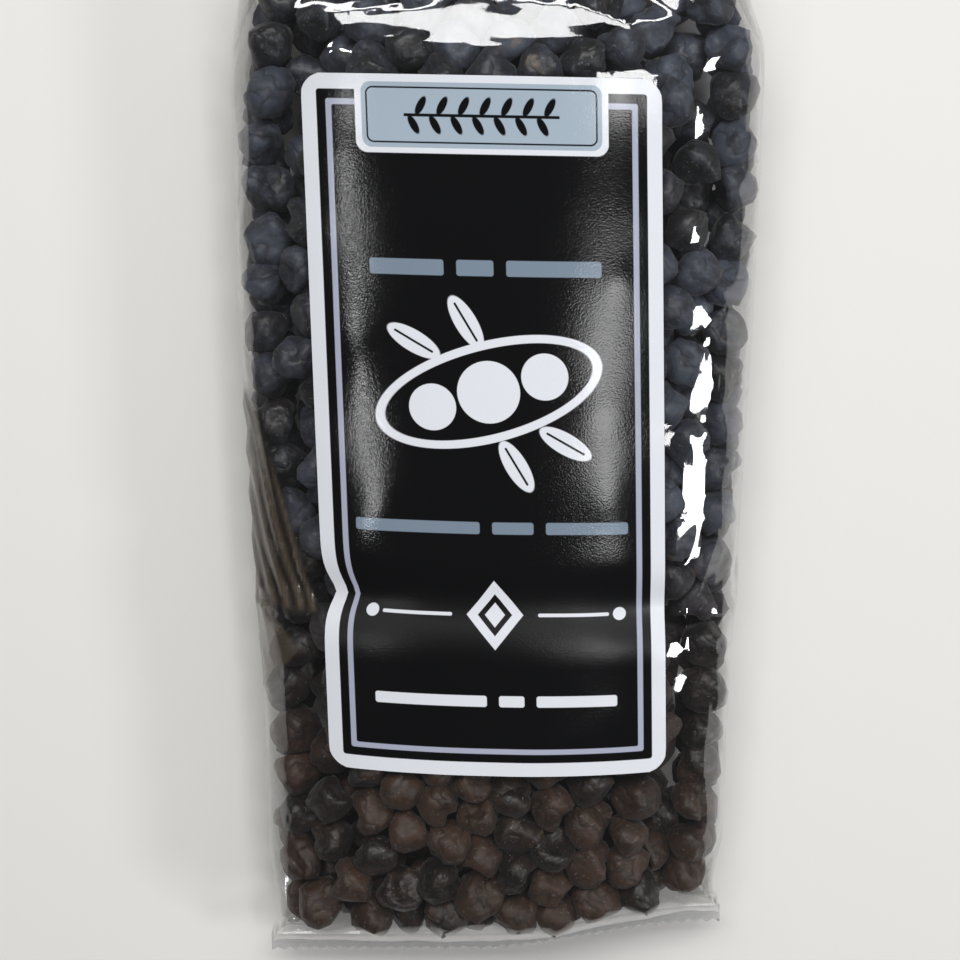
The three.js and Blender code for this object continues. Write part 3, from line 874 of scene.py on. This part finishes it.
plan_x, plan_y = plan_places(flat_label)
label_z = np.array([film_height(x, y) for x, y in zip(plan_x, plan_y)]) + PAPER_LIFT
label.data.vertices.foreach_set("co", np.stack([plan_x, plan_y, label_z], axis=-1).reshape(-1))
label.data.update()
thicken = label.modifiers.new("paper thickness", "SOLIDIFY")
thicken.thickness = PAPER_THICKNESS
thicken.offset = 1
bpy.ops.object.modifier_apply(modifier=thicken.name)
label.data.shade_smooth()
bpy.ops.object.shade_smooth_by_angle(angle=math.radians(40))
print("label top", round(max(corner_array(label.data)[:, 2]) / MM, 2), "mm")

# %% [markdown]
# ## Writing shader maths as plain sums
# A pattern is a sum of simple shapes, and dozens of Math nodes wired by hand are hard to read. A
# small class wraps a node's output, so that ordinary sums and products add those nodes.

# %% Wrap a socket in a class


class Value:
    """The output of a node, on which sums and comparisons add Math nodes."""

    def __init__(self, tree, socket):
        self.tree = tree
        self.socket = socket

    def math(self, operation, *others):
        return add_node(self.tree, "Math", {"operation": operation}, self, *others)

    def __add__(self, other):
        return self.math("ADD", other)

    __radd__ = __add__

    def __sub__(self, other):
        return self.math("SUBTRACT", other)

    def __rsub__(self, other):
        return (self * -1) + other

    def __mul__(self, other):
        return self.math("MULTIPLY", other)

    __rmul__ = __mul__

    def __truediv__(self, other):
        return self.math("DIVIDE", other)

    def __abs__(self):
        return self.math("ABSOLUTE")

    def at_most(self, other):
        return self.math("MINIMUM", other)

    def at_least(self, other):
        return self.math("MAXIMUM", other)

    def power(self, exponent):
        return self.math("POWER", exponent)

    def step(self, start, end):
        """Goes smoothly from 0 at start to 1 at end."""
        settings = {"interpolation_type": "SMOOTHSTEP"}
        return add_node(self.tree, "MapRange", settings, self, start, end, 0, 1)


def add_node(tree, kind, settings, *inputs, output=0, **named):
    """Adds a shader node: its settings first, then the values or links of its sockets."""
    node = tree.nodes.new("ShaderNode" + kind)
    for name, setting in settings.items():
        setattr(node, name, setting)
    wanted = list(enumerate(inputs))
    wanted += [(name.replace("_", " "), given) for name, given in named.items()]
    for place, given in wanted:
        if isinstance(given, Value):
            tree.links.new(given.socket, node.inputs[place])
        else:
            node.inputs[place].default_value = given
    return Value(tree, node.outputs[output])


def mix_color(share, low, high):
    """Mixes two colours by a share from 0 to 1."""
    mixer = share.tree.nodes.new("ShaderNodeMix")
    mixer.data_type = "RGBA"
    share.tree.links.new(share.socket, mixer.inputs["Factor"])
    for socket, given in ((mixer.inputs[6], low), (mixer.inputs[7], high)):
        if isinstance(given, Value):
            share.tree.links.new(given.socket, socket)
        else:
            socket.default_value = given
    return Value(share.tree, mixer.outputs[2])


def new_material(piece, name):
    """Gives a piece a new material, and returns its empty node tree."""
    material = bpy.data.materials.new(name)
    material.use_nodes = True
    material.node_tree.nodes.clear()
    piece.data.materials.append(material)
    return material.node_tree


def principled(tree, **sockets):
    return add_node(tree, "BsdfPrincipled", {}, **sockets)


def mix_shader(tree, share, first, second):
    return add_node(tree, "MixShader", {}, share, first, second)


def bumped(tree, height, distance, strength):
    return add_node(tree, "Bump", {}, Strength=strength, Distance=distance, Height=height)


def finish_material(tree, shader):
    output = tree.nodes.new("ShaderNodeOutputMaterial")
    tree.links.new(shader.socket, output.inputs["Surface"])


# %% [markdown]
# ## The chickpeas' skin
# The skin of a black chickpea is charcoal, with a dusty grey-violet bloom that lies unevenly, some
# brown and tan where it is rubbed, and fine dry wrinkles. Noise in the object's own coordinates
# gives all of that, and the tone of each chickpea makes neighbours differ. The wrinkles' valleys
# are darkened with painted shade and some dirt. Towards the bag's foot the skin turns from
# blue-grey to brown, which is painted warm light bounced up from below.

# %% Make the chickpeas' material
SKIN_DARK = (0.0085, 0.0085, 0.0095, 1)
# The warm dark and the warm bloom are painted warm light on the chickpeas towards the bag's foot.
SKIN_DARK_PAINTED_WARM_LIGHT = (0.009, 0.0055, 0.004, 1)
SKIN_BLOOM = (0.066, 0.078, 0.108, 1)
SKIN_BLOOM_PAINTED_WARM_LIGHT = (0.063, 0.030, 0.016, 1)
SKIN_BROWN = (0.040, 0.026, 0.019, 1)
SKIN_TAN = (0.17, 0.115, 0.065, 1)
SKIN_DUST = (0.17, 0.175, 0.19, 1)
SKIN_SHEEN = 0.09
WRINKLE_DEPTH = 1.2 * MM


def noise_at(tree, place, scale, detail, roughness=0.55):
    """A cloudy pattern, whose scale is the number of clouds in a metre."""
    return add_node(
        tree, "TexNoise", {}, Vector=place, Scale=scale, Detail=detail,
        Roughness=roughness,
    )


def object_place(tree):
    return add_node(tree, "TexCoord", {}, output=3)


def read_attribute(tree, name):
    return add_node(tree, "Attribute", {"attribute_name": name}, output=2)


def coordinate(tree, place, axis):
    """One of a place's coordinates: 0 for across, 1 for along."""
    return add_node(tree, "SeparateXYZ", {}, place, output=axis)


def dress_peas():
    tree = new_material(peas, "chickpea_skin")
    place = object_place(tree)
    tone = read_attribute(tree, "tone")
    clouds = noise_at(tree, place, 170, 3, 0.6)
    dust = noise_at(tree, place, 900, 2, 0.7)
    wrinkles = noise_at(tree, place, 150, 2, 0.5)
    valleys = (abs(wrinkles - 0.5) * 2).at_most(0.25)
    scuffs = 1 - abs(noise_at(tree, place, 330, 2, 0.6) - 0.52).step(0, 0.02)
    bloom = (clouds * 1.2 + tone * 0.6 + dust * 0.35).step(0.7, 1.4)
    brown = noise_at(tree, place, 60, 2).step(0.5, 0.72) * (1 - tone).step(0.3, 1)
    spots = (noise_at(tree, place, 260, 2) * 0.9 + noise_at(tree, place, 45, 2) * 0.5).step(0.86, 0.98)
    # Towards the foot the skin is tinted brown: painted warm light bounced up from below.
    foot_painted_warm_light = (coordinate(tree, place, 1) * -1).step(10 * MM, 70 * MM)
    dark = mix_color(foot_painted_warm_light, SKIN_DARK, SKIN_DARK_PAINTED_WARM_LIGHT)
    skin = mix_color(bloom, dark, mix_color(foot_painted_warm_light, SKIN_BLOOM, SKIN_BLOOM_PAINTED_WARM_LIGHT))
    skin = mix_color(brown * 0.55, skin, SKIN_BROWN)
    skin = mix_color(spots * 0.5, skin, SKIN_TAN)
    skin = mix_color(noise_at(tree, place, 1500, 1).step(0.67, 0.73) * 0.6, skin, SKIN_DUST)
    skin = mix_color(scuffs * clouds.step(0.5, 0.75) * 0.4, skin, SKIN_DUST)
    # The wrinkles' valleys are darkened: painted shade, with some dirt.
    skin = mix_color(valleys.step(0, 0.1) * 0.5 + 0.5, dark, skin)
    bump = bumped(tree, valleys + clouds * 0.3 + dust * 0.07, WRINKLE_DEPTH, 0.8)
    rough = (1 - bloom) * -0.14 + 0.55
    finish_material(tree, principled(
        tree, Base_Color=skin, Roughness=rough, Normal=bump, Sheen_Weight=SKIN_SHEEN
    ))


dress_peas()
print("chickpea skin done")

# %% [markdown]
# ## The film's finish
# Clear film shows only by what it reflects. Where it is seen straight on it reflects little, and
# at its edges a lot, which is the Fresnel effect. So a see-through shader is mixed with a mirror by
# that factor, nearly doubled, because the film reflects from both its faces, and held below a
# limit. Where it is folded over itself at the left, a dark brown sheet is mixed in: the folds are
# a little hazier, but that brown is painted shade, lighter along the pleats' crests as painted
# reflection. The seals are hazy and ribbed where hot bars pressed the film's two sheets together.

# %% Make the film's material
FILM_INDEX = 1.5
MOST_GLOSS = 0.4
FACES_SHARE = 1.8
FILM_ROUGHNESS = 0.04
FILM_TINT = (0.97, 0.97, 0.965, 1)
MIRROR_COLOR = (1, 1, 1, 1)
FILM_HAZE = 0.004
HAZE_COLOR = (0.62, 0.62, 0.62, 1)
SEAL_HAZE = 0.3
# Painted shade and painted reflection for the film folded over itself at the left.
FOLD_PAINTED_SHADE = (0.018, 0.014, 0.011, 1)
FOLD_PAINTED_REFLECTION = (0.115, 0.09, 0.066, 1)
PAINTED_FOLD_COVER = 0.86
SEAL_RIB_PITCH = 1.5 * MM
CREASE_DEPTH = 0.2 * MM


def dress_film():
    tree = new_material(film, "clear_film")
    place = object_place(tree)
    seal = read_attribute(tree, "seal")
    along = read_attribute(tree, "along")
    ribs = (along * (2 * math.pi / SEAL_RIB_PITCH)).math("SINE") * seal
    creases = noise_at(tree, place, 240, 1)
    height = ribs * 0.5 + abs(creases - 0.5) * 0.35
    bump = bumped(tree, height, CREASE_DEPTH, 0.3)
    gloss = add_node(tree, "Fresnel", {}, IOR=FILM_INDEX, Normal=bump)
    clear = add_node(tree, "BsdfTransparent", {}, Color=FILM_TINT)
    mirror = principled(
        tree, Base_Color=MIRROR_COLOR, Metallic=1, Roughness=FILM_ROUGHNESS, Normal=bump
    )
    haze = principled(tree, Base_Color=HAZE_COLOR, Roughness=0.6, Normal=bump)
    # Where the film is folded over itself, a dark brown of painted shade, lighter along the pleats'
    # crests as painted reflection.
    folded_painted_shade = read_attribute(tree, "folded_painted_shade")
    pleat_crest_and_painted_light = read_attribute(tree, "pleat_crest_and_painted_light")
    brown = mix_color(pleat_crest_and_painted_light.power(1.6), FOLD_PAINTED_SHADE, FOLD_PAINTED_REFLECTION)
    shade = principled(tree, Base_Color=brown, Roughness=0.22, Normal=bump)
    shiny = mix_shader(tree, (gloss * FACES_SHARE).at_most(MOST_GLOSS), clear, mirror)
    hazy = mix_shader(tree, seal * SEAL_HAZE + FILM_HAZE, shiny, haze)
    finish_material(tree, mix_shader(tree, folded_painted_shade * PAINTED_FOLD_COVER, hazy, shade))


dress_film()
print("film done")

# %% [markdown]
# ## The label's print
# The print is fields of colour and simple shapes on flat paper: a white border, a black margin, a
# pale keyline, a black field, a grey-blue plate with a sprig, an open pod, a diamond and a few
# plain bars. Each shape is a distance worked out from the UV map, which is turned into a share of
# ink where it is below nought. The paper is creased where it dips at the waist, so it is rougher
# there.

# %% Lay out the print
WHITE_INK = (0.72, 0.74, 0.78, 1)
BLACK_INK = (0.0055, 0.0055, 0.006, 1)
KEYLINE_INK = (0.38, 0.40, 0.50, 1)
GRAY_INK = (0.19, 0.24, 0.30, 1)
PLATE_INK = (0.36, 0.43, 0.50, 1)
EDGE_SOFTNESS = 0.09
BORDER = 2.85
MARGIN = 1.75
KEYLINE = 1.1
HALF_WIDTH = LABEL_WIDTH / MM / 2
HALF_HEIGHT = LABEL_LENGTH / MM / 2


class Sheet:
    """The flat paper, in millimetres from its middle, and the ink laid on it so far."""

    def __init__(self, tree):
        self.tree = tree
        uv = add_node(tree, "UVMap", {"uv_map": "print"})
        self.x = (coordinate(tree, uv, 0) - 0.5) * (HALF_WIDTH * 2)
        self.y = (coordinate(tree, uv, 1) - 0.5) * (HALF_HEIGHT * 2)
        self.ink = WHITE_INK

    def place(self, x, y, turn=0):
        """Coordinates from a place on the sheet, turned by an angle in degrees."""
        cosine, sine = math.cos(math.radians(turn)), math.sin(math.radians(turn))
        across, up = self.x - x, self.y - y
        return across * cosine + up * sine, up * cosine - across * sine

    def lay(self, distance, ink):
        """Lays ink wherever a distance is below nought."""
        self.ink = mix_color(1 - distance.step(-EDGE_SOFTNESS, EDGE_SOFTNESS), self.ink, ink)


def rounded_box(place, half_width, half_height, radius):
    """The distance to the edge of a rounded rectangle, negative inside it."""
    beyond_x = abs(place[0]) - (half_width - radius)
    beyond_y = abs(place[1]) - (half_height - radius)
    outside_x, outside_y = beyond_x.at_least(0), beyond_y.at_least(0)
    outside = (outside_x * outside_x + outside_y * outside_y).power(0.5)
    return outside + beyond_x.at_least(beyond_y).at_most(0) - radius


def oval(place, half_width, half_height):
    """About the distance to the edge of an ellipse, negative inside it."""
    across, up = place[0] / half_width, place[1] / half_height
    return ((across * across + up * up).power(0.5) - 1) * min(half_width, half_height)


def draw_borders(sheet):
    inset = BORDER
    fields = ((BLACK_INK, MARGIN, 0.6), (KEYLINE_INK, KEYLINE, 0.5), (BLACK_INK, 0, 0.4))
    for ink, width, radius in fields:
        box = rounded_box(sheet.place(0, 0), HALF_WIDTH - inset, HALF_HEIGHT - inset, radius)
        sheet.lay(box, ink)
        inset += width


def draw_plate(sheet):
    """The plate at the top, with a sprig of leaves on it."""
    middle_y = HALF_HEIGHT - 7.4
    sheet.lay(rounded_box(sheet.place(0, middle_y + 1.2), 23.6, 8.2, 2.2), WHITE_INK)
    sheet.lay(rounded_box(sheet.place(0, middle_y), 22.4, 6.0, 1.8), PLATE_INK)
    ring = abs(rounded_box(sheet.place(0, middle_y), 21.4, 5.0, 1.2)) - 0.16
    sheet.lay(ring, BLACK_INK)
    sheet.lay(rounded_box(sheet.place(0, middle_y), 14.5, 0.28, 0.2), BLACK_INK)
    for step in range(-3, 4):
        for side in (-1, 1):
            leaf = sheet.place(step * 4 + side * 0.7, middle_y + side * 1.75, side * 62)
            sheet.lay(oval(leaf, 1.9, 0.72), BLACK_INK)


def draw_motif(sheet):
    """An open pod with three round peas in it, on a stalk with four leaves."""
    turn, middle_y = 16, 9
    way = math.radians(turn)
    sheet.lay(oval(sheet.place(0, middle_y, turn), 22.5, 9.6), WHITE_INK)
    sheet.lay(oval(sheet.place(0, middle_y, turn), 20.6, 8.0), BLACK_INK)
    for step, radius in ((-11.2, 4.5), (0, 6.0), (11.2, 4.5)):
        x, y = math.cos(way) * step, middle_y + math.sin(way) * step
        sheet.lay(oval(sheet.place(x, y, turn), radius, radius), WHITE_INK)
    for x, y, lean in ((-14, 18.5, 150), (-4, 22.3, 120), (5, -5.3, -60), (14.5, -0.8, -30)):
        leaf = sheet.place(x, y, lean)
        sheet.lay(oval(leaf, 5.6, 2.1), WHITE_INK)
        sheet.lay(rounded_box(leaf, 4.2, 0.22, 0.2), BLACK_INK)


def draw_bars(sheet):
    """Rows of plain bars, and a diamond between two lines."""
    for y, ink, height, widths in (
        (32.5, GRAY_INK, 1.5, (7, 3.5, 9)),
        (-17.5, GRAY_INK, 1.2, (12, 4, 8)),
        (-52.5, WHITE_INK, 1.15, (11, 2.5, 8)),
    ):
        total = sum(widths) * 2 + 2.4 * (len(widths) - 1)
        left = -total / 2
        for width in widths:
            sheet.lay(rounded_box(sheet.place(left + width, y), width, height, 0.5), ink)
            left += width * 2 + 2.4
    diamond = abs(sheet.place(0, -35)[0]) + abs(sheet.place(0, -35)[1]) * 0.8
    sheet.lay(diamond - 5.6, WHITE_INK)
    sheet.lay(diamond - 3.4, BLACK_INK)
    sheet.lay(diamond - 2.0, WHITE_INK)
    for side in (-1, 1):
        sheet.lay(rounded_box(sheet.place(side * 15.5, -35), 7, 0.35, 0.3), WHITE_INK)
        sheet.lay(oval(sheet.place(side * 24.6, -35), 1.3, 1.3), WHITE_INK)


SPECKLE_DEPTH = 0.032 * MM
SATIN_GLOSS = 0.35
CREASE_PLACE = -37
CREASE_REACH = 9


def dress_label():
    tree = new_material(label, "printed_paper")
    sheet = Sheet(tree)
    draw_borders(sheet)
    draw_plate(sheet)
    draw_motif(sheet)
    draw_bars(sheet)
    place = object_place(tree)
    speckle = noise_at(tree, place, 3000, 1, 0.5)
    smudge = noise_at(tree, place, 35, 3)
    creased = (1 - abs(sheet.y - CREASE_PLACE) / CREASE_REACH).at_least(0)
    rough = smudge * 0.1 + creased * 0.36 + 0.06
    bump = bumped(tree, speckle, SPECKLE_DEPTH, 0.6)
    finish_material(tree, principled(
        tree, Base_Color=sheet.ink, Roughness=rough, Normal=bump, Specular_IOR_Level=SATIN_GLOSS
    ))


dress_label()
print("label print done")

# %% [markdown]
# ## The floor and the light
# The bag lies on a plain pale floor in soft studio light. A wide window beyond the bag's top end
# lights the whole and shows in the slanting film there, with a thin tube below it that draws long
# lines along the folds. A small one at the right draws the bright ribbons down that side, and three
# more, one at the right and two at the left, make the label's satin glare. Film and satin show what
# they reflect, so where the lights stand matters more than how strong they are.

# %% Lay the floor
FLOOR_SIZE = 6
FLOOR_COLOR = (0.78, 0.76, 0.73, 1)

floor = add_piece("floor", bpy.ops.mesh.primitive_plane_add, size=FLOOR_SIZE)
floor_tree = new_material(floor, "pale_floor")
finish_material(floor_tree, principled(floor_tree, Base_Color=FLOOR_COLOR, Roughness=0.8))

# %% Set the lights
WORLD_STRENGTH = 0.06
WORLD_COLOR = (0.93, 0.96, 1, 1)
LIT_PLACE = Vector((0, 0, 20)) * MM


def add_light(name, place, width, height, power, color=(1, 1, 1)):
    """A rectangular lamp that faces the bag, with its height upright as far as that goes."""
    bpy.ops.object.light_add(type="AREA", location=place)
    lamp = bpy.context.object
    lamp.name = name
    lamp.data.shape = "RECTANGLE"
    lamp.data.size = width
    lamp.data.size_y = height
    lamp.data.energy = power
    lamp.data.color = color
    lamp.rotation_euler = looking(LIT_PLACE - Vector(place), Vector((0, 0, 1)))


world = bpy.data.worlds.new("studio")
world.use_nodes = True
background = world.node_tree.nodes["Background"]
background.inputs["Color"].default_value = WORLD_COLOR
background.inputs["Strength"].default_value = WORLD_STRENGTH
bpy.context.scene.world = world

add_light("top_window", (-0.02, 0.61, 1.0), 0.9, 0.27, 8.5)
add_light("top_tube", (0.0, 0.79, 0.88), 1.9, 0.05, 4.5)
add_light("right_strip", (0.84, -0.235, 0.58), 0.24, 0.17, 3.2, color=(0.93, 0.96, 1))
add_light("label_glow", (0.4, -0.16, 1.0), 0.2, 0.2, 1.5)
add_light("left_glint_high", (-0.56, -0.01, 1.0), 0.06, 0.08, 0.35)
add_light("left_glint_low", (-0.52, -0.21, 1.0), 0.06, 0.1, 0.5)

# %% [markdown]
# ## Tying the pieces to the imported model
# The bag has no moving part, so all pieces ride on its one body. The film and the chickpeas stand
# for the solid bag, which is hidden, and the paper stands for the label.

# %% Tie the pieces and finish
for piece, slot, node in (
    (peas, "chickpeas", "bag"),
    (film, "film", "bag"),
    (label, "label_paper", "label"),
):
    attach(piece, "root")
    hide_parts(node)
